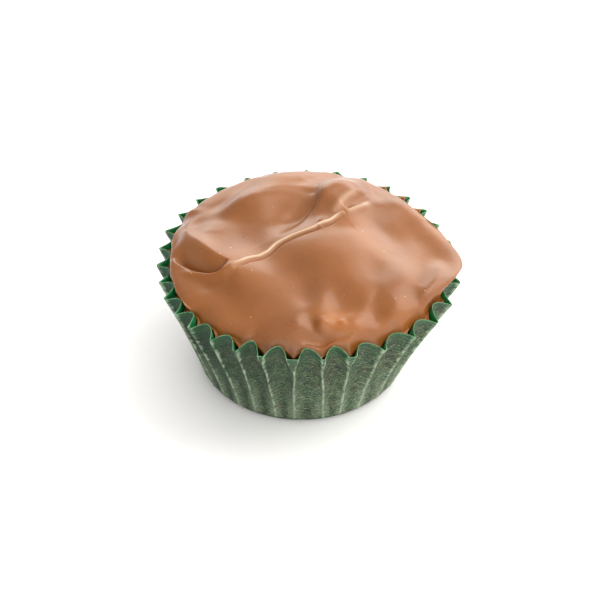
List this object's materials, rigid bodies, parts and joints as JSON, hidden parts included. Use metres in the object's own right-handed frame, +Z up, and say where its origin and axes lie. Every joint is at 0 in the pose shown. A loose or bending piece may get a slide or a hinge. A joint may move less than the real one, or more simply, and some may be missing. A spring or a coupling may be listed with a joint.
{
  "type": "chocolate almond cup",
  "caption": "Domed, lumpy milk chocolate candy that fills a fluted green paper case and runs over its rim in one place.",
  "frame": {"origin": "middle of the flat underside of the paper case", "axes": "+Z up, out of the chocolate's top; -Y to the front, where the two almond lumps are; +X to the right, where the chocolate runs over the rim"},
  "size_m": [0.0478, 0.0478, 0.0259],
  "materials": {
    "milk_chocolate": "satin, from a hand-dipped milk chocolate that set in air",
    "green_paper": "matt, dyed glassine paper with pressed flutes"
  },
  "bodies": {
    "root": {"chocolate": "milk_chocolate", "paper_case": "green_paper"}
  },
  "joints": []
}
